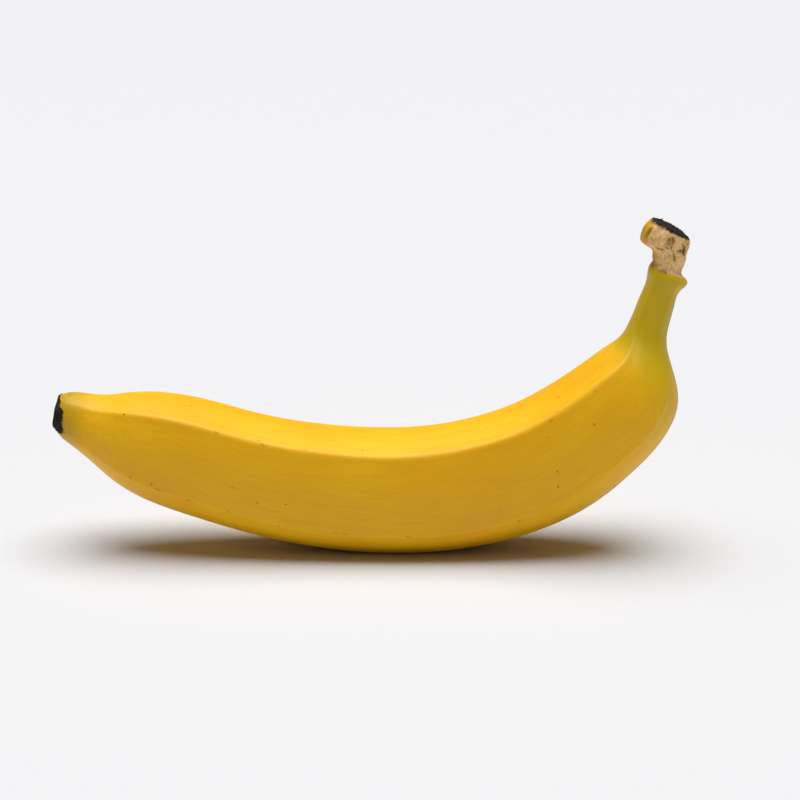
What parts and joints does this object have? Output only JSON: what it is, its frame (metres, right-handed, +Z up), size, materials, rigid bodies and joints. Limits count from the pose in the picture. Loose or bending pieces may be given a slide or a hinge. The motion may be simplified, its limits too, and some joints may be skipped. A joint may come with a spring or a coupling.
{
  "type": "banana",
  "caption": "Ripe yellow banana resting on its outer curve, with soft lengthwise ridges, a slim stem with a torn end and a dried dark flower tip.",
  "frame": {"origin": "on the surface the fruit rests on, under the middle of its box", "axes": "+X towards the stem end, along the fruit's length; +Y across the plane of its bend, away from the side that the picture shows; +Z up"},
  "size_m": [0.19, 0.0378, 0.1011],
  "materials": {
    "peel": "satin"
  },
  "bodies": {
    "root": {"banana": "peel"}
  },
  "joints": []
}
